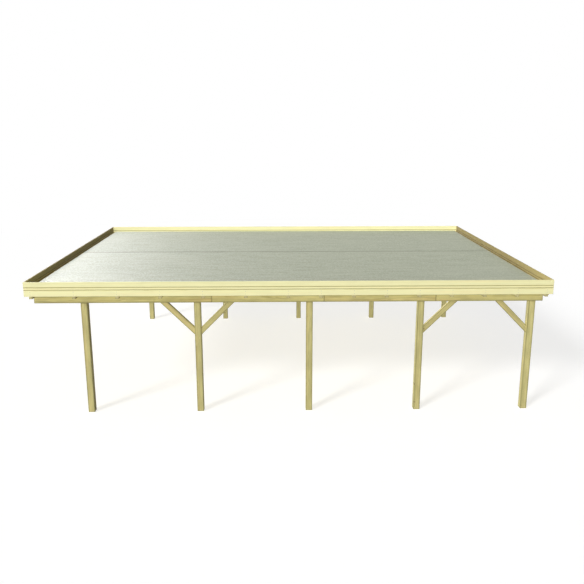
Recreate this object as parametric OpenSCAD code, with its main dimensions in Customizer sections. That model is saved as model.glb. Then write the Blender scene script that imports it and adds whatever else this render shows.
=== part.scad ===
// Flat-roofed timber carport: two rows of posts with braces carry purlins,
// rafters, a boarded and felted roof, and a grooved fascia all round.
// The origin is on the ground, under the middle of the roof's outline.
// +X runs along the long side, -Y faces the open front, +Z is up.

/* [Posts] */
// Side of a square post
post = 120; // [90:5:160]
// Height of a post, from the ground to the purlin
post_h = 2120; // [1900:10:2800]
// Distance between neighbouring posts of a row, centre to centre
bay_w = 2045; // [1700:5:2500]
// Distance between the front and the rear row, centre to centre
row_span = 6360; // [4500:10:7600]

/* [Purlins] */
// Height of a purlin
purlin_h = 135; // [100:5:200]
// Purlin beyond the left-hand post
purlin_left = 830; // [100:10:1000]
// Purlin beyond the right-hand post
purlin_right = 130; // [80:10:900]
// Distance from a post's right face to the butt joint of the purlin
joint_past_post = 205; // [60:5:400]

/* [Braces] */
// Distance from the post's face to a brace's outer tip, and its drop down the post
brace_leg = 620; // [450:10:750]
// Face width of a brace
brace_w = 100; // [70:5:130]
// Thickness of a brace
brace_t = 60; // [40:5:90]

/* [Rafters] */
// Width of a rafter
rafter_w = 60; // [45:5:80]
// Height of a rafter
rafter_h = 160; // [120:5:220]
// Rafter in front of the front posts
rafter_front = 230; // [100:10:500]
// Rafter behind the rear posts
rafter_back = 20; // [0:5:500]
// Distance between the rafters of the left part, centre to centre
wide_pitch = 760; // [500:5:800]

/* [Fascia] */
// Height of a fascia board
fascia_h = 260; // [200:5:320]
// Thickness of a fascia board
fascia_t = 20; // [16:1:32]
// Lower edge of the fascia above the rafters' undersides
fascia_lift = 50; // [0:5:100]
// Middle of the upper groove below the board's top edge
groove_drop = 99; // [40:1:110]
// Distance between the two grooves, centre to centre
groove_gap = 46; // [25:1:60]
// Width of a groove
groove_w = 16; // [6:1:20]
// Depth of a groove
groove_d = 5; // [2:0.5:6]

/* [Battens] */
// Distance that a batten holds a side fascia off the outer rafter
batten_x = 60; // [30:5:80]
// Width of a batten along the rafter
batten_y = 45; // [30:5:70]
// Distance from the fascia's end to the first batten
batten_end = 120; // [40:5:200]
// Distance from the last batten to the fascia's other end
batten_rest = 595; // [40:5:900]

/* [Roof] */
// Thickness of the roof boards
deck_t = 21; // [16:1:30]
// Thickness of the roofing felt
felt_t = 4; // [2:0.5:6]
// Distance from the roof's front edge to the seam of the felt
seam_y = 3610; // [2500:10:4000]
// Overlap of the two felt sheets
felt_lap = 100; // [60:10:200]

/* [Hidden] */
BAYS = 4;
POSTS = BAYS + 1;
RAFTERS = 15;
WIDE_GAPS = 6;
BATTENS = 7;
// Posts that have a brace on their left or right side, numbered from the left
FRONT_BRACES_LEFT = [2, 5];
FRONT_BRACES_RIGHT = [2, 4];
REAR_BRACES_LEFT = [1, 2, 3, 4, 5];
REAR_BRACES_RIGHT = [1, 2, 3, 4];

// Plan: the purlins are as long as the rafters' field is wide
purlin_l = purlin_left + BAYS * bay_w + post + purlin_right;
rafter_l = rafter_front + row_span + post + rafter_back;
roof_x = purlin_l / 2;
roof_y = rafter_l / 2;
frame_x = roof_x + batten_x + fascia_t;
frame_y = roof_y + fascia_t;
front_row_y = -roof_y + rafter_front + post / 2;
rear_row_y = front_row_y + row_span;

// Heights
purlin_top = post_h + purlin_h;
rafter_top = purlin_top + rafter_h;
deck_top = rafter_top + deck_t;
fascia_z = purlin_top + fascia_lift;

// The rafters of the right part share what the wide gaps leave. The last gap
// is narrower still, by this share of the others
rafter_run = purlin_l - rafter_w;
narrow_gaps = RAFTERS - 1 - WIDE_GAPS;
end_share = 0.89;
narrow_pitch = (rafter_run - WIDE_GAPS * wide_pitch) / (narrow_gaps - 1 + end_share);

// Distance between battens, centre to centre
batten_pitch = (rafter_l - batten_end - batten_rest - batten_y) / (BATTENS - 1);

post_names = [for (row = ["front", "rear"]) for (i = [1:POSTS]) str("post_", row, "_", i)];
purlin_names = [for (row = ["front", "rear"]) for (i = [1:BAYS]) str("purlin_", row, "_", i)];
rafter_names = [for (i = [1:RAFTERS]) str("rafter_", i)];
NODES = concat(
    post_names,
    purlin_names,
    ["braces_front", "braces_rear"],
    rafter_names,
    ["fascia_front", "fascia_rear", "fascia_left", "fascia_right"],
    ["battens_left", "battens_right", "roof_deck", "felt_front", "felt_rear"]
);
node = "all";

function wanted(name) = node == "all" || node == name;
function row_y(row) = row == "front" ? front_row_y : rear_row_y;
// Left face of post i, counted from 1
function post_x(i) = -roof_x + purlin_left + (i - 1) * bay_w;
// Left end of purlin length i, and the end of the row after the last one
function purlin_x(i) = i == 1 ? -roof_x : i > BAYS ? roof_x : post_x(i) + post + joint_past_post;
// Left face of rafter i: wide gaps first, then narrow ones, and a shorter last gap
function rafter_x(i) =
    i == RAFTERS ? roof_x - rafter_w
    : i <= WIDE_GAPS + 1 ? -roof_x + (i - 1) * wide_pitch
    : -roof_x + WIDE_GAPS * wide_pitch + (i - 1 - WIDE_GAPS) * narrow_pitch;

// A square post standing on the ground
module post_at(row, i) {
    color("darkkhaki")
    translate([post_x(i), row_y(row) - post / 2, 0])
        cube([post, post, post_h]);
}

// One length of a purlin, lying on the posts and butted to the next length
module purlin_at(row, i) {
    color("tan")
    translate([purlin_x(i), row_y(row) - post / 2, post_h])
        cube([purlin_x(i + 1) - purlin_x(i), post, purlin_h]);
}

// A 45 degree brace in the corner of a post (at x = 0) and a purlin, running
// out to +X: a level cut against the purlin and a plumb cut against the post
module brace() {
    cut = brace_w * sqrt(2);
    translate([0, brace_t / 2, 0])
    rotate([90, 0, 0])
    linear_extrude(brace_t)
        polygon([
            [0, -brace_leg],
            [brace_leg, 0],
            [brace_leg - cut, 0],
            [0, cut - brace_leg],
        ]);
}

module braces(row, left_of, right_of) {
    color("darkkhaki")
    translate([0, row_y(row), post_h]) {
        for (i = left_of) translate([post_x(i), 0, 0]) mirror([1, 0, 0]) brace();
        for (i = right_of) translate([post_x(i) + post, 0, 0]) brace();
    }
}

// A square-ended rafter lying across both purlins
module rafter_at(i) {
    color("olivedrab")
    translate([rafter_x(i), -roof_y, purlin_top])
        cube([rafter_w, rafter_l, rafter_h]);
}

// A fascia board lying along +X with its outer face at y = 0, and two grooves
// along each face
module fascia_board(length) {
    difference() {
        cube([length, fascia_t, fascia_h]);
        for (drop = [groove_drop, groove_drop + groove_gap], y = [-1, fascia_t - groove_d])
            translate([-1, y, fascia_h - drop - groove_w / 2])
                cube([length + 2, groove_d + 1, groove_w]);
    }
}

// The front and rear boards close the ends of the rafters and of the side boards
module fascia_front() {
    color("palegoldenrod")
    translate([-frame_x, -frame_y, fascia_z])
        fascia_board(2 * frame_x);
}

module fascia_rear() {
    color("palegoldenrod")
    translate([frame_x, frame_y, fascia_z]) rotate([0, 0, 180])
        fascia_board(2 * frame_x);
}

// The side boards run between the front and the rear board
module fascia_left() {
    color("khaki")
    translate([-frame_x, roof_y, fascia_z]) rotate([0, 0, -90])
        fascia_board(2 * roof_y);
}

module fascia_right() {
    color("khaki")
    translate([frame_x, -roof_y, fascia_z]) rotate([0, 0, 90])
        fascia_board(2 * roof_y);
}

// Upright battens on the right outer rafter, spaced from its front end
module battens_right() {
    color("tan")
    for (i = [0:BATTENS - 1])
        translate([roof_x, -roof_y + batten_end + i * batten_pitch, purlin_top])
            cube([batten_x, batten_y, rafter_h]);
}

// The left-hand set is the same one turned round, so it is spaced from the rear
module battens_left() {
    rotate([0, 0, 180]) battens_right();
}

// Roof boards across the rafters, inside the felt's turned-down edges
module roof_deck() {
    color("burlywood")
    translate([felt_t - roof_x, felt_t - roof_y, rafter_top])
        cube([2 * (roof_x - felt_t), 2 * (roof_y - felt_t), deck_t]);
}

// The front felt sheet: it lies on the boards, turns down over three edges and
// runs on under the rear sheet
module felt_front() {
    sheet_l = seam_y + felt_lap;
    color("lightgray")
    difference() {
        translate([-roof_x, -roof_y, rafter_top])
            cube([2 * roof_x, sheet_l, deck_t + felt_t]);
        translate([felt_t - roof_x, felt_t - roof_y, rafter_top - 1])
            cube([2 * (roof_x - felt_t), sheet_l, deck_t + 1]);
    }
}

// The rear felt sheet: it steps up onto the front sheet and turns down likewise
module felt_rear() {
    color("silver")
    difference() {
        union() {
            translate([-roof_x, seam_y + felt_lap - roof_y, rafter_top])
                cube([2 * roof_x, 2 * roof_y - seam_y - felt_lap, deck_t + felt_t]);
            translate([-roof_x, seam_y - roof_y, deck_top + felt_t])
                cube([2 * roof_x, felt_lap + felt_t, felt_t]);
        }
        translate([felt_t - roof_x, -roof_y, rafter_top - 1])
            cube([2 * (roof_x - felt_t), 2 * roof_y - felt_t, deck_t + 1]);
    }
}

for (row = ["front", "rear"]) {
    for (i = [1:POSTS]) if (wanted(str("post_", row, "_", i))) post_at(row, i);
    for (i = [1:BAYS]) if (wanted(str("purlin_", row, "_", i))) purlin_at(row, i);
}
if (wanted("braces_front")) braces("front", FRONT_BRACES_LEFT, FRONT_BRACES_RIGHT);
if (wanted("braces_rear")) braces("rear", REAR_BRACES_LEFT, REAR_BRACES_RIGHT);
for (i = [1:RAFTERS]) if (wanted(str("rafter_", i))) rafter_at(i);
if (wanted("fascia_front")) fascia_front();
if (wanted("fascia_rear")) fascia_rear();
if (wanted("fascia_left")) fascia_left();
if (wanted("fascia_right")) fascia_right();
if (wanted("battens_left")) battens_left();
if (wanted("battens_right")) battens_right();
if (wanted("roof_deck")) roof_deck();
if (wanted("felt_front")) felt_front();
if (wanted("felt_rear")) felt_rear();
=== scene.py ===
"""A flat-roofed timber carport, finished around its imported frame.

The sections follow the carport as it is put up: posts, purlins, braces, rafters, roof boards, felt,
battens and fascia. Everything is in metres: +X runs along the long side, -Y faces the open front.
"""

import math
import random

import bmesh
import bpy
from mathutils import Matrix, Vector


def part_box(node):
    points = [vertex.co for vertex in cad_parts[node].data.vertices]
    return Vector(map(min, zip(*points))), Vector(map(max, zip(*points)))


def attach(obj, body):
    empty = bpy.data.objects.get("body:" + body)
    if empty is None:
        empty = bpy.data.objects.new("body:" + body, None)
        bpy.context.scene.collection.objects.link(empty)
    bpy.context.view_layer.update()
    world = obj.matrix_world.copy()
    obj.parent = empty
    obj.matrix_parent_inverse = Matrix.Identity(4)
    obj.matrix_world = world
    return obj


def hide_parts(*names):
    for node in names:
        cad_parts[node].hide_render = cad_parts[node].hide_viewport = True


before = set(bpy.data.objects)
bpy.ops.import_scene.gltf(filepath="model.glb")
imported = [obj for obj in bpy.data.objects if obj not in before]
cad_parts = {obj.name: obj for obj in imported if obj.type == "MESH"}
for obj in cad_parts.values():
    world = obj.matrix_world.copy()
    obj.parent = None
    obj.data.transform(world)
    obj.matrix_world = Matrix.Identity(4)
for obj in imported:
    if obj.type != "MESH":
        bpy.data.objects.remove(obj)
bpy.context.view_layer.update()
scene = bpy.context.scene
scene.view_settings.view_transform = "Standard"


# ---------------------------------------------------------------- The view
# The eye stands 12 m in front of the front posts, higher than the roof, and looks
# slightly down across it, a touch to the right of straight ahead.
EYE = (-0.228, -15.121, 5.2325)
EYE_DOWN = 13.71
EYE_RIGHT = 1.23
LENS = 41.91
camera_lens = bpy.data.cameras.new("camera")
camera_lens.lens = LENS
camera = bpy.data.objects.new("camera", camera_lens)
camera.location = EYE
camera.rotation_euler = (math.radians(90 - EYE_DOWN), 0, math.radians(-EYE_RIGHT))
scene.collection.objects.link(camera)
scene.camera = camera


# ---------------------------------------------------------------- The light
# A wide studio lamp from the front left, above: most of it is open light that falls
# everywhere, the rest casts soft shadows. A weaker one fills the rear, and a level one
# the right side, where the outer pieces shade what lies behind them.
def sun(name, strength, heading, spread, shadows):
    """A lamp whose light travels along heading."""
    light = bpy.data.lights.new(name, "SUN")
    light.energy = strength
    light.angle = math.radians(spread)
    light.use_shadow = shadows
    lamp = bpy.data.objects.new(name, light)
    lamp.rotation_euler = Vector(heading).to_track_quat("-Z", "Y").to_euler()
    scene.collection.objects.link(lamp)


FRONT_LEFT = (0.57, 0.64, -0.51)
sun("open_light", 3.06, FRONT_LEFT, 8, False)
sun("shadow_light", 1.04, FRONT_LEFT, 14, True)
sun("rear_fill", 1.60, (0.38, -0.88, -0.27), 18, False)
sun("side_fill", 1.40, (-1, 0, 0), 0.6, True)


class Recipe:
    """A node tree while it is put together. Each method adds one step and returns its output."""

    def __init__(self, tree):
        self.tree = tree

    def feed(self, socket, value):
        """Links another step's output to a socket, or sets the socket's own value."""
        if isinstance(value, bpy.types.NodeSocket):
            self.tree.links.new(value, socket)
        else:
            socket.default_value = value

    def add(self, kind, inputs, **settings):
        """A node with its settings and inputs. This one returns the node itself."""
        node = self.tree.nodes.new("ShaderNode" + kind)
        for setting, value in settings.items():
            setattr(node, setting, value)
        for socket, value in inputs.items():
            self.feed(node.inputs[socket], value)
        return node

    def maths(self, operation, *values):
        return self.add("Math", dict(enumerate(values)), operation=operation).outputs[0]

    def vector(self, operation, *values, out="Vector"):
        return self.add("VectorMath", dict(enumerate(values)), operation=operation).outputs[out]

    def parts(self, vector):
        """The X, Y and Z of a vector."""
        return self.add("SeparateXYZ", {0: vector}).outputs

    def place(self):
        """Where a point of a piece lies in the carport."""
        return self.add("TexCoord", {}).outputs["Object"]

    def carried(self, name, by="GEOMETRY"):
        """A vector that the corners of a mesh carry, or with by="OBJECT" the piece as a whole."""
        return self.add("Attribute", {}, attribute_type=by, attribute_name=name).outputs["Vector"]

    def noise(self, place, scale, detail=2, out="Fac"):
        """Noise stretched by scale, a number for each axis of place."""
        stretched = self.vector("MULTIPLY", place, scale)
        node = self.add("TexNoise", {"Vector": stretched, "Scale": 1, "Detail": detail})
        return node.outputs[out]

    def spread(self, value, low, high, to_low, to_high):
        """value from low to high, smoothed onto the range from to_low to to_high."""
        inputs = {"Value": value, "From Min": low, "From Max": high, "To Min": to_low, "To Max": to_high}
        return self.add("MapRange", inputs, interpolation_type="SMOOTHSTEP").outputs["Result"]

    def blend(self, first, second, share, mode="MIX"):
        inputs = {"Factor": share, "A": first, "B": second}
        return self.add("Mix", inputs, data_type="RGBA", blend_type=mode).outputs["Result"]

    def shown(self):
        """1 for what the eye sees directly, in gloss or through glass, and 0 for the light on pieces."""
        path = self.add("LightPath", {}).outputs
        direct = self.maths("MAXIMUM", path["Is Camera Ray"], path["Is Glossy Ray"])
        return self.maths("MAXIMUM", direct, path["Is Transmission Ray"])


AMBIENT = 0.11
WHITE = (1, 1, 1, 1)
world = bpy.data.worlds.new("white_room")
world.use_nodes = True
room = Recipe(world.node_tree)
backdrop = room.tree.nodes["Background"]
room.feed(backdrop.inputs["Color"], WHITE)
brightness = room.add("MapRange", {"Value": room.shown(), "To Min": AMBIENT, "To Max": 1})
room.feed(backdrop.inputs["Strength"], brightness.outputs["Result"])
scene.world = world


# ---------------------------------------------------------------- The floor
# A pale, matt studio floor, level with the feet of the posts. It keeps the soft
# shadow of the carport, runs out into the white of the room, and is clear from below.
class Finish(Recipe):
    """A material while it is put together."""

    def __init__(self, name):
        self.material = bpy.data.materials.new(name)
        self.material.use_nodes = True
        super().__init__(self.material.node_tree)
        self.shader = self.tree.nodes["Principled BSDF"]

    def wear(self, socket, value):
        """Sets or links one of the shader's own inputs."""
        self.feed(self.shader.inputs[socket], value)

    def colour(self):
        """The colour that the shader wears so far."""
        return self.shader.inputs["Base Color"].links[0].from_socket

    def relief(self, height, depth, strength):
        """Bump of the given depth on the shader."""
        inputs = {"Height": height, "Distance": depth, "Strength": strength}
        self.wear("Normal", self.add("Bump", inputs).outputs["Normal"])


FLOOR_RADIUS = 30
FADE_FROM, FADE_TO = 9, 24
# The eye sees a white floor, but the pieces get the light that a grey one throws up
SEEN_WHITE = (0.97, 0.97, 0.97, 1)
SEEN_LIFT = 0.11
BOUNCE_GREY = (0.18, 0.18, 0.18, 1)
floor_paint = Finish("floor_paint")
seen = floor_paint.shown()
floor_paint.wear("Base Color", floor_paint.blend(BOUNCE_GREY, SEEN_WHITE, seen))
floor_paint.wear("Roughness", 1)
floor_paint.wear("Specular IOR Level", 0)
floor_paint.wear("Emission Color", WHITE)
floor_paint.wear("Emission Strength", floor_paint.maths("MULTIPLY", seen, SEEN_LIFT))
reach = floor_paint.vector("LENGTH", floor_paint.place(), out="Value")
fade = floor_paint.maths("MULTIPLY", floor_paint.spread(reach, FADE_FROM, FADE_TO, 0, 1), seen)
glow = floor_paint.add("Emission", {"Color": WHITE}).outputs[0]
matt = floor_paint.shader.outputs[0]
upper_side = floor_paint.add("MixShader", {0: fade, 1: matt, 2: glow}).outputs[0]
clear = floor_paint.add("BsdfTransparent", {}).outputs[0]
from_below = floor_paint.add("NewGeometry", {}).outputs["Backfacing"]
one_way = floor_paint.add("MixShader", {0: from_below, 1: upper_side, 2: clear}).outputs[0]
floor_paint.feed(floor_paint.tree.nodes["Material Output"].inputs["Surface"], one_way)

disc = bmesh.new()
bmesh.ops.create_circle(disc, cap_ends=True, radius=FLOOR_RADIUS, segments=96)
floor_mesh = bpy.data.meshes.new("floor")
disc.to_mesh(floor_mesh)
disc.free()
floor_mesh.materials.append(floor_paint.material)
floor = bpy.data.objects.new("floor", floor_mesh)
scene.collection.objects.link(floor)


# ---------------------------------------------------------------- Posts
# Ten square posts of pressure-treated pine, planed, with rounded arrises. They stand
# on their sawn feet, five in each row, and each is cut from its own part of a log.
def ink(red, green, blue):
    """A colour given as screen values from 0 to 255, in the linear form that shaders take."""
    shares = [channel / 255 for channel in (red, green, blue)]
    linear = [s / 12.92 if s <= 0.04045 else ((s + 0.055) / 1.055) ** 2.4 for s in shares]
    return (*linear, 1)


# A year's growth, the distance between whorls of branches, and the steps along the pith,
# at one of which each timber starts
RING = 0.0052
WHORL = 0.12
LOG_STEP, LOG_STEPS = 12, 60
# For each way that a timber may run, the axes across it and then the one along it
GRAIN_ORDER = {"X": "YZX", "Y": "ZXY", "Z": "XYZ"}
PRESERVATIVE = ink(126, 121, 72)
SAWN_END = ink(96, 84, 48)
KNOT_HEART, KNOT_EDGE = ink(122, 84, 46), ink(74, 48, 26)


def place_in_log(wood, grain):
    """Where a point lies in its log, and in its timber's section, which runs from -1 to 1."""
    if grain == "own":
        return wood.carried("grain"), wood.carried("section")
    from_heart = wood.parts(wood.vector("SUBTRACT", wood.place(), wood.carried("heart", "OBJECT")))
    turned = {i: from_heart[axis] for i, axis in enumerate(GRAIN_ORDER[grain])}
    log = wood.add("CombineXYZ", turned).outputs[0]
    from_centre = wood.vector("SUBTRACT", log, wood.carried("centre", "OBJECT"))
    return log, wood.vector("DIVIDE", from_centre, wood.carried("half", "OBJECT"))


def branches(wood, log, across, grown_share):
    """Knots are branches: they run out from the pith, so each shows on the faces that it reaches.

    Returns the distance to a branch in its own radii, where a knot shows, and how far it pushes the
    rings aside.
    """
    outward = wood.vector("MULTIPLY", wood.vector("NORMALIZE", across), (0.5, 0.5, 0.5))
    along = wood.vector("MULTIPLY", log, (0, 0, 1 / WHORL))
    branch = wood.add("TexVoronoi", {"Vector": wood.vector("ADD", outward, along), "Scale": 1})
    chance = wood.add("SeparateColor", {0: branch.outputs["Color"]}).outputs
    grown = wood.maths("LESS_THAN", chance["Red"], grown_share)
    size = wood.maths("MULTIPLY_ADD", chance["Green"], 0.08, 0.05)
    away = wood.maths("DIVIDE", branch.outputs["Distance"], size)
    knot = wood.maths("MULTIPLY", grown, wood.spread(away, 0.8, 1.1, 1, 0))
    swirl = wood.maths("DIVIDE", 0.008, wood.maths("MULTIPLY_ADD", away, away, 1.0))
    return away, knot, wood.maths("MULTIPLY", swirl, grown)


def growth_rings(wood, radius, pushed):
    """Pale early wood, at 0, that darkens to a sharp line of late wood, at 1."""
    uneven = wood.add("TexNoise", {"W": wood.maths("MULTIPLY", radius, 55)}, noise_dimensions="1D")
    shift = wood.maths("MULTIPLY", uneven.outputs[0], 1.6)
    years = wood.maths("MULTIPLY_ADD", wood.maths("ADD", radius, pushed), 1 / RING, shift)
    year = wood.add("ValToRGB", {0: wood.maths("FRACT", years)})
    steps = ((0.0, 0.35), (0.10, 0.0), (0.55, 0.18), (0.90, 1.0), (1.0, 0.35))
    for i, (place, shade) in enumerate(steps):
        stop = year.color_ramp.elements[i] if i < 2 else year.color_ramp.elements.new(place)
        stop.position = place
        stop.color = (shade, shade, shade, 1)
    return year.outputs[0]


def pine(name, early, late, warm, grain, warmth=0.5, sealed=0.5, knots=0.28, greened=0.6):
    """Treated pine as solid wood: growth rings round a wandering pith, streaks, knots and fibre.

    grain is the axis that a timber runs along, read from its heart, or "own" for pieces that carry
    their place in the log as an attribute. Sawn ends are brushed with preservative, which darkens
    them by the share sealed. knots is the share of the branches that reached this thickness, and
    greened how far the preservative shows: in darker arrises, where it enters from two sides, and
    in patches.
    """
    wood = Finish(name)
    log, section = place_in_log(wood, grain)
    wander = wood.vector("SUBTRACT", wood.noise(log, (1.6, 1.6, 0.45), out="Color"), (0.5, 0.5, 0.5))
    bent = wood.vector("ADD", log, wood.vector("MULTIPLY", wander, (0.05, 0.05, 0)))
    across = wood.vector("MULTIPLY", bent, (1, 1, 0))
    radius = wood.vector("LENGTH", across, out="Value")
    away, knot, pushed = branches(wood, log, across, knots)
    year = growth_rings(wood, radius, pushed)
    streak = wood.noise(bent, (15, 15, 0.5), 3)
    body = wood.blend(early, late, wood.maths("MULTIPLY", year, 0.8))
    body = wood.blend(body, warm, wood.spread(streak, 0.48, 0.72, 0, warmth))

    # The tone differs from timber to timber, between fibres, and in patches of deeper stain
    fibre = wood.noise(log, (700, 700, 9), 3)
    own_tone = wood.spread(wood.noise(log, (0, 0, 0.03), 0), 0.3, 0.7, 0.93, 1.05)
    tone = wood.maths("ADD", own_tone, wood.spread(fibre, 0.2, 0.8, -0.035, 0.035))
    uptake = 0.02 + 0.15 * greened
    patches = wood.spread(wood.noise(bent, (11, 11, 2.6), 3), 0.32, 0.68, -uptake, uptake)
    tone = wood.maths("ADD", tone, patches)
    body = wood.add("VectorMath", {0: body, "Scale": tone}, operation="SCALE").outputs["Vector"]

    # Preservative goes in at the arrises, and sawn ends are brushed with it
    inwards = wood.parts(wood.vector("SUBTRACT", (1, 1, 1), wood.vector("ABSOLUTE", section)))
    from_arris = wood.maths("MAXIMUM", inwards["X"], inwards["Y"])
    body = wood.blend(body, PRESERVATIVE, wood.spread(from_arris, 0.12, 0.44, greened, 0))
    if grain != "own":
        end = wood.parts(wood.carried("ends", "OBJECT"))
        along = wood.parts(log)["Z"]
        from_start = wood.maths("SUBTRACT", along, end["X"])
        gap = wood.maths("MINIMUM", from_start, wood.maths("SUBTRACT", end["Y"], along))
        body = wood.blend(body, SAWN_END, wood.spread(gap, 0.003, 0.016, sealed, 0))

    knot_brown = wood.blend(KNOT_HEART, KNOT_EDGE, wood.spread(away, 0.35, 1.0, 0, 1))
    wood.wear("Base Color", wood.blend(body, knot_brown, wood.maths("MULTIPLY", knot, 0.85)))
    wood.wear("Roughness", wood.spread(fibre, 0.2, 0.8, 0.58, 0.74))
    wood.wear("Specular IOR Level", 0.3)
    wood.relief(wood.maths("MULTIPLY_ADD", fibre, 0.6, year), 0.0006, 0.5)
    return wood


ARRIS = 0.004
# Corners closer than this are one
SAME_PLACE = 0.0001


def round_arrises(piece, radius):
    """Rounds a timber's long edges, as the planer leaves them."""
    weld = piece.modifiers.new("weld", "WELD")
    weld.merge_threshold = SAME_PLACE
    plane = piece.modifiers.new("arris", "BEVEL")
    plane.width = radius
    plane.segments = 3
    plane.limit_method = "ANGLE"
    plane.angle_limit = math.radians(30)


def finish_timber(node, material, grain, pith, draw, arris=ARRIS):
    """Gives a CAD timber its wood, its own place in the log, and rounded arrises.

    pith is how far the heart of the log may lie from the timber's centre, across and across.
    """
    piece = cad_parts[node]
    piece.material_slots[0].material = material
    low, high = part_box(node)
    heart = (low + high) / 2
    axes = ["XYZ".index(axis) for axis in GRAIN_ORDER[grain]]
    for axis, reach in zip(axes[:2], pith):
        heart[axis] += draw.choice((-1, 1)) * draw.uniform(0.5, 1) * reach
    heart[axes[2]] -= LOG_STEP * draw.randint(1, LOG_STEPS)
    piece["heart"] = list(heart)
    piece["centre"] = [(low[axis] + high[axis]) / 2 - heart[axis] for axis in axes]
    piece["half"] = [(high[axis] - low[axis]) / 2 for axis in axes]
    piece["ends"] = [low[axes[2]] - heart[axes[2]], high[axes[2]] - heart[axes[2]], 0.0]
    round_arrises(piece, arris)


ROWS = ("front", "rear")
POSTS_IN_ROW = 5
post_pine = pine("post_pine", ink(201, 192, 133), ink(161, 151, 94), ink(207, 187, 124), "Z").material
draw = random.Random(11)
for row in ROWS:
    for number in range(1, POSTS_IN_ROW + 1):
        finish_timber(f"post_{row}_{number}", post_pine, "Z", (0.07, 0.05), draw)


# ---------------------------------------------------------------- Purlins
# Each row of posts carries a purlin in four planed lengths, laid flat on the posts
# and butted a short way past the inner ones, where each end hangs on its neighbour.
LENGTHS_IN_ROW = 4
purlin_pine = pine(
    "purlin_pine", ink(213, 203, 139), ink(172, 160, 98), ink(218, 193, 130), "X", warmth=0.6
).material
draw = random.Random(23)
for row in ROWS:
    for number in range(1, LENGTHS_IN_ROW + 1):
        finish_timber(f"purlin_{row}_{number}", purlin_pine, "X", (0.05, 0.04), draw)


# ---------------------------------------------------------------- Nail plates
# Flat plates of galvanised steel on the inner faces tie each butt joint of the
# purlins and each post to the purlin on it. Ring-shank nails hold them.
def finished(name, built, material):
    """Makes a bmesh a piece of the carport."""
    mesh = bpy.data.meshes.new(name)
    built.to_mesh(mesh)
    built.free()
    piece = bpy.data.objects.new(name, mesh)
    scene.collection.objects.link(piece)
    mesh.materials.append(material)
    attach(piece, "root")
    return piece


def repeated(name, part, places, material):
    """One piece that holds a small part at each of many places."""
    pattern = bpy.data.meshes.new(name + "_pattern")
    part.to_mesh(pattern)
    part.free()
    joined = bmesh.new()
    for place in places:
        before = len(joined.verts)
        joined.from_mesh(pattern)
        joined.verts.ensure_lookup_table()
        bmesh.ops.transform(joined, matrix=place, verts=joined.verts[before:])
    bpy.data.meshes.remove(pattern)
    finished(name, joined, material)


def raise_face(built, face, height, narrowing):
    """Draws a face up along +Z, narrowed towards the middle. Returns what was drawn."""
    drawn = bmesh.ops.extrude_face_region(built, geom=[face])["geom"]
    corners = [g for g in drawn if isinstance(g, bmesh.types.BMVert)]
    bmesh.ops.translate(built, vec=(0, 0, height), verts=corners)
    bmesh.ops.scale(built, vec=(narrowing, narrowing, 1), verts=corners)
    return drawn


NAIL_RADIUS, NAIL_PROUD = 0.004, 0.0012
# The share of its width that a nail's head keeps at the top
NAIL_CROWN = 0.6


def set_nail(built, place, radius, proud):
    """A low domed nail head on the surface at place, which points the head along its +Z."""
    ring = bmesh.ops.create_circle(built, cap_ends=True, radius=radius, segments=10)["verts"]
    crown = raise_face(built, ring[0].link_faces[0], proud, NAIL_CROWN)
    crown_verts = [g for g in crown if isinstance(g, bmesh.types.BMVert)]
    bmesh.ops.transform(built, matrix=place, verts=ring + crown_verts)


zinc = Finish("galvanised_steel")
zinc_place = zinc.place()
spangle = zinc.add("TexVoronoi", {"Vector": zinc_place, "Scale": 190})
flake = zinc.add("SeparateColor", {0: spangle.outputs["Color"]}).outputs["Red"]
dulled = zinc.noise(zinc_place, (9, 9, 9), 3)
zinc.wear("Base Color", zinc.blend(ink(158, 162, 164), ink(180, 183, 184), flake))
zinc.wear("Roughness", zinc.spread(zinc.maths("ADD", flake, dulled), 0.3, 1.6, 0.42, 0.54))
zinc.wear("Metallic", 0.9)
zinc.relief(flake, 0.0002, 0.25)

PLATE = Vector((0.20, 0.10, 0.002))
PLATE_CORNER = 0.008
FIRST_COLUMN, COLUMN_PITCH, LINE_PITCH = 0.025, 0.028, 0.032
MIDDLE_COLUMN_SHIFT = 0.008
plate = bmesh.new()
bmesh.ops.create_cube(plate, size=1)
bmesh.ops.scale(plate, vec=PLATE, verts=plate.verts)
bmesh.ops.translate(plate, vec=(0, 0, PLATE.z / 2), verts=plate.verts)
upright = [e for e in plate.edges if abs(e.verts[0].co.z - e.verts[1].co.z) > PLATE.z / 2]
bmesh.ops.bevel(
    plate, geom=upright, offset=PLATE_CORNER, segments=3, profile=0.5, affect="EDGES", material=-1
)
for side in (-1, 1):
    for column in range(3):
        for line in range(3):
            x = side * (FIRST_COLUMN + COLUMN_PITCH * column)
            y = (line - 1) * LINE_PITCH + (MIDDLE_COLUMN_SHIFT if column == 1 else 0)
            set_nail(plate, Matrix.Translation((x, y, PLATE.z)), NAIL_RADIUS, NAIL_PROUD)

plate_places = []
for row, inward in zip(ROWS, (1, -1)):
    low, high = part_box(f"purlin_{row}_1")
    inner = high.y if inward > 0 else low.y
    facing = Matrix.Rotation(-inward * math.pi / 2, 4, "X")
    upended = facing @ Matrix.Rotation(math.pi / 2, 4, "Z")
    half_height = (high.z - low.z) / 2
    for number in range(1, LENGTHS_IN_ROW):
        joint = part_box(f"purlin_{row}_{number}")[1].x
        plate_places.append(Matrix.Translation((joint, inner, high.z - half_height)) @ facing)
    for number in range(1, POSTS_IN_ROW + 1):
        post_low, post_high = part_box(f"post_{row}_{number}")
        middle = (post_low.x + post_high.x) / 2
        plate_places.append(Matrix.Translation((middle, inner, post_high.z)) @ upended)
repeated("nail_plates", plate, plate_places, zinc.material)


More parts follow.
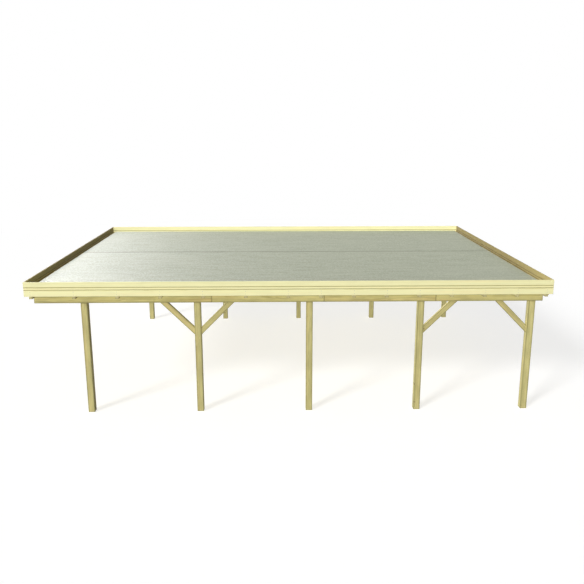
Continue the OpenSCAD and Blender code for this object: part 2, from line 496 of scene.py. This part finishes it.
# ---------------------------------------------------------------- Braces
# Planed braces stand at 45 degrees in the corners of posts and purlins, with a plumb
# cut and a level cut. Two screws through the outer edge hold each end.
BRACED_LEFT = {"front": (2, 5), "rear": (1, 2, 3, 4, 5)}
BRACED_RIGHT = {"front": (2, 4), "rear": (1, 2, 3, 4)}


def timbers_in(built):
    """The separate timbers of a mesh, each as a list of its corners."""
    left = set(built.verts)
    while left:
        found, edge_of = [], [left.pop()]
        while edge_of:
            corner = edge_of.pop()
            found.append(corner)
            for edge in corner.link_edges:
                other = edge.other_vert(corner)
                if other in left:
                    left.remove(other)
                    edge_of.append(other)
        yield found


def add_grain_layers(built):
    """Makes room on a mesh's corners for what lay_grain writes."""
    built.verts.layers.float_vector.new("grain")
    built.verts.layers.float_vector.new("section")


def lay_grain(built, corners, along, across, pith, start):
    """Writes where a timber lies in its log, from the pith and along it, and in its own section.

    The section runs from -1 to 1 across the timber each way.
    """
    layers = built.verts.layers.float_vector
    third = along.cross(across)
    centre = sum((v.co for v in corners), Vector()) / len(corners)
    half_width = max(abs((v.co - centre).dot(across)) for v in corners)
    half_depth = max(abs((v.co - centre).dot(third)) for v in corners)
    for v in corners:
        off = v.co - centre
        v[layers["grain"]] = (off.dot(across) + pith[0], off.dot(third) + pith[1], off.dot(along) + start)
        v[layers["section"]] = (off.dot(across) / half_width, off.dot(third) / half_depth, 0)


def dressed(node, name, material, across, pith, draw, arris=ARRIS):
    """Replaces a CAD node of several timbers by planed ones, each with its own place in a log."""
    built = bmesh.new()
    built.from_mesh(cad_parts[node].data)
    bmesh.ops.remove_doubles(built, verts=built.verts, dist=SAME_PLACE)
    bmesh.ops.dissolve_limit(built, angle_limit=0.01, verts=built.verts, edges=built.edges)
    add_grain_layers(built)
    bmesh.ops.bevel(
        built, geom=built.edges, offset=arris, segments=2, profile=0.5, affect="EDGES", material=-1
    )
    for corners in sorted(timbers_in(built), key=lambda found: min(v.co.x + v.co.y for v in found)):
        edges = {edge for v in corners for edge in v.link_edges}
        longest = max(edges, key=lambda edge: edge.calc_length())
        along = (longest.verts[1].co - longest.verts[0].co).normalized()
        # The edges come in no fixed order or direction, so each timber is read from its foot up
        if along.z < 0:
            along.negate()
        off = [draw.choice((-1, 1)) * draw.uniform(0.5, 1) * reach for reach in pith]
        lay_grain(built, corners, along, across, off, LOG_STEP * draw.randint(1, LOG_STEPS))
    piece = finished(name, built, material)
    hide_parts(node)


brace_pine = pine(
    "brace_pine", ink(199, 189, 130), ink(158, 146, 89), ink(198, 174, 119), "own", knots=0.5
).material
through_brace = Vector((0, 1, 0))
draw = random.Random(37)
for row in ROWS:
    name = f"brace_timbers_{row}"
    dressed(f"braces_{row}", name, brace_pine, through_brace, (0.05, 0.04), draw)

# The head of a screw: a low disc with a round drive recess
SCREW_RADIUS, SCREW_PROUD, SCREW_CROWN = 0.0045, 0.0010, 0.86
SCREW_RIM, SCREW_RECESS = 0.4 * SCREW_RADIUS, 0.8 * SCREW_PROUD
screw = bmesh.new()
ring = bmesh.ops.create_circle(screw, cap_ends=True, radius=SCREW_RADIUS, segments=14)["verts"]
raised = raise_face(screw, ring[0].link_faces[0], SCREW_PROUD, SCREW_CROWN)
crown = [g for g in raised if isinstance(g, bmesh.types.BMFace)]
bmesh.ops.inset_region(screw, faces=crown, thickness=SCREW_RIM, use_even_offset=True)
bmesh.ops.translate(screw, vec=(0, 0, -SCREW_RECESS), verts=crown[0].verts)
screw_pattern = bpy.data.meshes.new("screw_pattern")
screw.to_mesh(screw_pattern)
screw.free()


def screws(name, places):
    """A piece of screw heads, one at each place, pointing along the place's +Z."""
    head = bmesh.new()
    head.from_mesh(screw_pattern)
    repeated(name, head, places, zinc.material)


def facing_out(outward):
    """A turn that points +Z along outward."""
    return Vector(outward).to_track_quat("Z", "Y").to_matrix().to_4x4()


SCREW_FROM_TIP, SCREW_ASIDE = 0.10, 0.014
brace_screws = []
for row in ROWS:
    leg_low, leg_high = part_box(f"braces_{row}")
    leg = leg_high.z - leg_low.z
    middle = (leg_low.y + leg_high.y) / 2
    for side, posts in ((-1, BRACED_LEFT[row]), (1, BRACED_RIGHT[row])):
        for number in posts:
            post_low, post_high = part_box(f"post_{row}_{number}")
            face_x = post_high.x if side > 0 else post_low.x
            for step in (SCREW_FROM_TIP, leg * math.sqrt(2) - SCREW_FROM_TIP):
                run = step / math.sqrt(2)
                for aside in (-SCREW_ASIDE, SCREW_ASIDE):
                    spot = Vector((face_x + side * run, middle + aside, leg_low.z + run))
                    brace_screws.append(Matrix.Translation(spot) @ facing_out((side, 0, -1)))
screws("brace_screws", brace_screws)


# ---------------------------------------------------------------- Rafters
# Fifteen planed rafters on edge lie across both purlins, closer together over the
# right half. Their square ends stop behind the fascia.
RAFTERS = 15
rafter_pine = pine(
    "rafter_pine", ink(212, 203, 152), ink(172, 160, 108), ink(214, 192, 142), "Y", sealed=0.15
).material
draw = random.Random(41)
for number in range(1, RAFTERS + 1):
    finish_timber(f"rafter_{number}", rafter_pine, "Y", (0.07, 0.05), draw)


# ---------------------------------------------------------------- Rafter brackets
# Bent angle brackets of galvanised steel, one at each crossing of a rafter and a
# purlin: one leg is nailed to the purlin's top and one to the rafter's side.
BRACKET_LEG, BRACKET_WIDTH, BRACKET_SHEET = 0.060, 0.060, 0.0025
BRACKET_BEND = 0.004
NAILS_OUT, NAILS_ASIDE = (0.024, 0.046), (-0.017, 0.017)
bracket = bmesh.new()
foot = bracket.verts.new((BRACKET_LEG, -BRACKET_WIDTH / 2, 0))
bend = bracket.verts.new((0, -BRACKET_WIDTH / 2, 0))
top = bracket.verts.new((0, -BRACKET_WIDTH / 2, BRACKET_LEG))
outline = [bracket.edges.new((foot, bend)), bracket.edges.new((bend, top))]
swept = bmesh.ops.extrude_edge_only(bracket, edges=outline)["geom"]
swept_verts = [g for g in swept if isinstance(g, bmesh.types.BMVert)]
bmesh.ops.translate(bracket, vec=(0, BRACKET_WIDTH, 0), verts=swept_verts)
fold = [e for e in bracket.edges if all(v.co.x == 0 and v.co.z == 0 for v in e.verts)]
bmesh.ops.bevel(
    bracket, geom=fold, offset=BRACKET_BEND, segments=3, profile=0.5, affect="EDGES", material=-1
)
bmesh.ops.recalc_face_normals(bracket, faces=bracket.faces)
if sum(f.normal.z for f in bracket.faces) < 0:
    bmesh.ops.reverse_faces(bracket, faces=bracket.faces)
bmesh.ops.solidify(bracket, geom=bracket.faces[:], thickness=-BRACKET_SHEET)
bmesh.ops.recalc_face_normals(bracket, faces=bracket.faces)
for out in NAILS_OUT:
    for aside in NAILS_ASIDE:
        flat = Matrix.Translation((out, aside, BRACKET_SHEET))
        wall = Matrix.Translation((BRACKET_SHEET, aside, out)) @ Matrix.Rotation(math.pi / 2, 4, "Y")
        set_nail(bracket, flat, NAIL_RADIUS, NAIL_PROUD)
        set_nail(bracket, wall, NAIL_RADIUS, NAIL_PROUD)

# A bracket stands right of its rafter, but left of the last one, which is flush with the purlin
bracket_places = []
for row in ROWS:
    low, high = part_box(f"purlin_{row}_1")
    middle = (low.y + high.y) / 2
    for number in range(1, RAFTERS + 1):
        rafter_low, rafter_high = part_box(f"rafter_{number}")
        if number < RAFTERS:
            bracket_places.append(Matrix.Translation((rafter_high.x, middle, high.z)))
        else:
            turned = Matrix.Rotation(math.pi, 4, "Z")
            bracket_places.append(Matrix.Translation((rafter_low.x, middle, high.z)) @ turned)
repeated("rafter_brackets", bracket, bracket_places, zinc.material)


# ---------------------------------------------------------------- Roof boards
# Tongue and groove boards lie along the roof on the rafters, with chamfered lower
# edges that show as V joints from below. Their ends meet over rafters, staggered.
BOARD_COVER, BOARD_GAP, CHAMFER = 0.121, 0.0006, 0.004
TONGUE, TONGUE_LOW, TONGUE_HIGH = 0.006, 0.008, 0.013
# The rafters over which the boards of a row meet, for four rows that repeat
ENDS_OVER = ((5, 10), (3, 8, 12), (6, 11), (4, 9, 13))


def roof_board(built, x_ends, y_edges, z_faces, tongued):
    """One board: its section as an outline, drawn out along X. Returns its corners."""
    near, far = y_edges[0], y_edges[1] - BOARD_GAP
    low, high = z_faces
    outline = [
        (near + CHAMFER, low),
        (far - CHAMFER, low),
        (far, low + CHAMFER),
        (far, low + TONGUE_LOW),
        (far + TONGUE, low + TONGUE_LOW),
        (far + TONGUE, low + TONGUE_HIGH),
        (far, low + TONGUE_HIGH),
        (far, high),
        (near, high),
        (near, low + TONGUE_HIGH + BOARD_GAP),
        (near + TONGUE + BOARD_GAP, low + TONGUE_HIGH + BOARD_GAP),
        (near + TONGUE + BOARD_GAP, low + TONGUE_LOW - BOARD_GAP),
        (near, low + TONGUE_LOW - BOARD_GAP),
        (near, low + CHAMFER),
    ]
    if not tongued:
        outline = outline[:3] + outline[7:]
    end = built.faces.new([built.verts.new((x_ends[0], y, z)) for y, z in outline])
    near_end = list(end.verts)
    drawn = bmesh.ops.extrude_face_region(built, geom=[end])["geom"]
    far_end = [g for g in drawn if isinstance(g, bmesh.types.BMVert)]
    bmesh.ops.translate(built, vec=(x_ends[1] - x_ends[0], 0, 0), verts=far_end)
    return near_end + far_end


deck_low, deck_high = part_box("roof_deck")
board_rows = round((deck_high.y - deck_low.y) / BOARD_COVER)
cover = (deck_high.y - deck_low.y) / board_rows
deck_pine = pine(
    "deck_pine", ink(216, 205, 150), ink(178, 162, 106), ink(216, 190, 138), "own", warmth=0.6, greened=0
).material
along_board, across_board = Vector((1, 0, 0)), Vector((0, 1, 0))
draw = random.Random(53)
boards = bmesh.new()
add_grain_layers(boards)
for line in range(board_rows):
    tongued = line < board_rows - 1
    edges = (deck_low.y + line * cover, deck_low.y + line * cover + cover)
    ends = [deck_low.x]
    for number in ENDS_OVER[line % len(ENDS_OVER)]:
        rafter_low, rafter_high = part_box(f"rafter_{number}")
        ends.append((rafter_low.x + rafter_high.x) / 2)
    ends.append(deck_high.x)
    for start, stop in zip(ends, ends[1:]):
        board = roof_board(boards, (start, stop - BOARD_GAP), edges, (deck_low.z, deck_high.z), tongued)
        pith = (draw.uniform(-0.03, 0.03), draw.choice((-1, 1)) * draw.uniform(0.03, 0.09))
        log_start = LOG_STEP * draw.randint(1, LOG_STEPS)
        lay_grain(boards, board, along_board, across_board, pith, log_start)
bmesh.ops.recalc_face_normals(boards, faces=boards.faces)
roof_boards = finished("roof_boards", boards, deck_pine)
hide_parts("roof_deck")


# ---------------------------------------------------------------- Roofing felt
# Two sheets of mineral-surfaced bitumen felt cover the boards and turn down over
# their edges. The rear sheet laps over the front one and clout nails hold both. A dark
# band of painted shadow lies on the front sheet along the lap, where the rear sheet's edge casts it.
LAP_SHADOW_REACH = 0.09
FELT_FOLD = 0.0015
felt = Finish("mineral_felt")
felt_place = felt.place()
below_lap = felt.maths("SUBTRACT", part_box("felt_rear")[0].y, felt.parts(felt_place)["Y"])
in_front = felt.maths("GREATER_THAN", below_lap, 0)
# Painted shadow: the front sheet darkens towards the lap, as if shaded by the rear sheet's edge
lap_shadow = felt.maths("MULTIPLY", felt.spread(below_lap, 0, LAP_SHADOW_REACH, 0.75, 0), in_front)
granule = felt.add("TexVoronoi", {"Vector": felt_place, "Scale": 420})
grit = felt.add("SeparateColor", {0: granule.outputs["Color"]}).outputs["Red"]
brushed = felt.noise(felt_place, (1.5, 30, 5), 4)
mottle = felt.noise(felt_place, (34, 22, 22), 3)
weather = felt.noise(felt_place, (0.7, 1.4, 1), 4)
stone = felt.blend(ink(119, 124, 103), ink(170, 175, 153), grit)
stone = felt.blend(stone, ink(146, 151, 129), 0.4)
stone = felt.blend(stone, ink(114, 120, 98), felt.spread(brushed, 0.38, 0.66, 0, 0.6))
stone = felt.blend(stone, ink(184, 189, 166), felt.spread(mottle, 0.4, 0.68, 0, 0.3))
stone = felt.blend(stone, ink(162, 166, 145), felt.spread(weather, 0.45, 0.7, 0, 0.25))
# The dark colour of the painted shadow along the lap
stone = felt.blend(stone, ink(84, 86, 70), lap_shadow)
felt.wear("Base Color", stone)
duller = felt.spread(mottle, 0.4, 0.7, 0.08, 0)
felt.wear("Roughness", felt.maths("ADD", felt.spread(grit, 0, 1, 0.46, 0.58), duller))
felt.wear("Specular IOR Level", 0.8)
felt.relief(felt.maths("SUBTRACT", 1, granule.outputs["Distance"]), 0.0012, 0.5)
for sheet in ("felt_front", "felt_rear"):
    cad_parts[sheet].material_slots[0].material = felt.material
    round_arrises(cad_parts[sheet], FELT_FOLD)

CLOUT_RADIUS, CLOUT_PROUD = 0.006, 0.0015
SEAM_PITCH, EDGE_PITCH, NAIL_IN = 0.10, 0.20, 0.03
felt_low, felt_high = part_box("felt_front")
rear_low, rear_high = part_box("felt_rear")
left, right = felt_low.x + NAIL_IN, felt_high.x - NAIL_IN
front, back = felt_low.y + NAIL_IN, rear_high.y - NAIL_IN
lap_end = felt_high.y + (felt_high.z - deck_high.z)
clout_spots = []
for i in range(int((right - left) / SEAM_PITCH) + 1):
    clout_spots.append((left + i * SEAM_PITCH, rear_low.y + NAIL_IN, rear_high.z))
for i in range(int((right - left) / EDGE_PITCH) + 1):
    for y in (front, back):
        clout_spots.append((left + i * EDGE_PITCH, y, felt_high.z))
for i in range(1, int((back - front) / EDGE_PITCH)):
    y = front + i * EDGE_PITCH
    for x in (left, right):
        clout_spots.append((x, y, rear_high.z if rear_low.y <= y <= lap_end else felt_high.z))
clout = bmesh.new()
set_nail(clout, Matrix.Identity(4), CLOUT_RADIUS, CLOUT_PROUD)
repeated("clout_nails", clout, [Matrix.Translation(spot) for spot in clout_spots], zinc.material)


# ---------------------------------------------------------------- Battens
# Short upright battens are screwed to the outer rafters and hold the side fascias
# off them. Each set is one cut-off length of roof batten, seven times.
batten_pine = pine("batten_pine", ink(206, 196, 142), ink(164, 152, 98), ink(208, 184, 132), "own").material
BATTEN_ARRIS = 0.003
off_rafter = Vector((1, 0, 0))
draw = random.Random(67)
for side in ("left", "right"):
    name = f"batten_timbers_{side}"
    pith = (0.04, 0.03)
    dressed(f"battens_{side}", name, batten_pine, off_rafter, pith, draw, BATTEN_ARRIS)


# ---------------------------------------------------------------- Fascia
# Planed boards with two grooves along each face, darkened with painted shade, stand on edge round the roof.
# The front and rear ones are screwed to the rafters' ends. The side ones, screwed to
# the battens, are of a browner pine, with painted shade that darkens them towards the rear.
GROOVES_BELOW_TOP = (0.099, 0.145)
GROOVE_WIDTH, GROOVE_BLUR = 0.016, 0.0005
# Painted shade: the colour that darkens the inside of each groove
GROOVE_PAINTED_SHADE = (0.51, 0.48, 0.37, 1)
FASCIA_ARRIS = 0.002


def paint_groove_shade(board):
    """Darkens a finish inside the two grooves with painted shade."""
    height = board.parts(board.place())["Z"]
    edge = GROOVE_WIDTH / 2
    colour = board.colour()
    for below_top in GROOVES_BELOW_TOP:
        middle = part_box("fascia_front")[1].z - below_top
        off = board.maths("ABSOLUTE", board.maths("SUBTRACT", height, middle))
        inside = board.spread(off, edge - GROOVE_BLUR, edge + GROOVE_BLUR, 1, 0)
        # Painted shade: the finish is darkened inside the groove, as the groove's shade
        colour = board.blend(colour, GROOVE_PAINTED_SHADE, inside, "MULTIPLY")
    board.wear("Base Color", colour)


CLEAR_BOARD = {"sealed": 0.1, "knots": 0.06, "greened": 0}
fascia_long_pine = pine(
    "fascia_long_pine", ink(244, 240, 187), ink(231, 224, 164), ink(244, 232, 174), "X", **CLEAR_BOARD
)
paint_groove_shade(fascia_long_pine)

fascia_side_pine = pine(
    "fascia_side_pine", ink(178, 163, 104), ink(144, 129, 76), ink(172, 149, 93), "Y", **CLEAR_BOARD
)
# Painted shade: the side boards darken from the front towards the rear, as a lamp's fall-off would shade
# them
SHADE_RAMP = 2.6
REAR_SHADE_INK = ink(124, 109, 62)
front_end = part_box("fascia_left")[0].y
side_y = fascia_side_pine.parts(fascia_side_pine.place())["Y"]
rear_painted_shade = fascia_side_pine.spread(side_y, front_end, front_end + SHADE_RAMP, 0, 0.7)
side_colour = fascia_side_pine.blend(fascia_side_pine.colour(), REAR_SHADE_INK, rear_painted_shade)
fascia_side_pine.wear("Base Color", side_colour)
paint_groove_shade(fascia_side_pine)

draw = random.Random(79)
for side in ("front", "rear"):
    finish_timber(f"fascia_{side}", fascia_long_pine.material, "X", (0.12, 0.05), draw, FASCIA_ARRIS)
for side in ("left", "right"):
    finish_timber(f"fascia_{side}", fascia_side_pine.material, "Y", (0.05, 0.12), draw, FASCIA_ARRIS)

SCREW_RISES = (0.030, 0.080)
fascia_screws = []
for side, outward in (("front", -1), ("rear", 1)):
    low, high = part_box(f"fascia_{side}")
    face_y = low.y if outward < 0 else high.y
    for number in range(1, RAFTERS + 1):
        rafter_low, rafter_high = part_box(f"rafter_{number}")
        middle = (rafter_low.x + rafter_high.x) / 2
        for rise in SCREW_RISES:
            spot = Matrix.Translation((middle, face_y, low.z + rise))
            fascia_screws.append(spot @ facing_out((0, outward, 0)))
for side, outward in (("left", -1), ("right", 1)):
    low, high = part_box(f"fascia_{side}")
    face_x = low.x if outward < 0 else high.x
    battens = bmesh.new()
    battens.from_mesh(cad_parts[f"battens_{side}"].data)
    bmesh.ops.remove_doubles(battens, verts=battens.verts, dist=SAME_PLACE)
    for corners in sorted(timbers_in(battens), key=lambda found: min(v.co.y for v in found)):
        middle = sum(v.co.y for v in corners) / len(corners)
        for rise in SCREW_RISES:
            spot = Matrix.Translation((face_x, middle, low.z + rise))
            fascia_screws.append(spot @ facing_out((outward, 0, 0)))
    battens.free()
screws("fascia_screws", fascia_screws)
bpy.data.meshes.remove(screw_pattern)
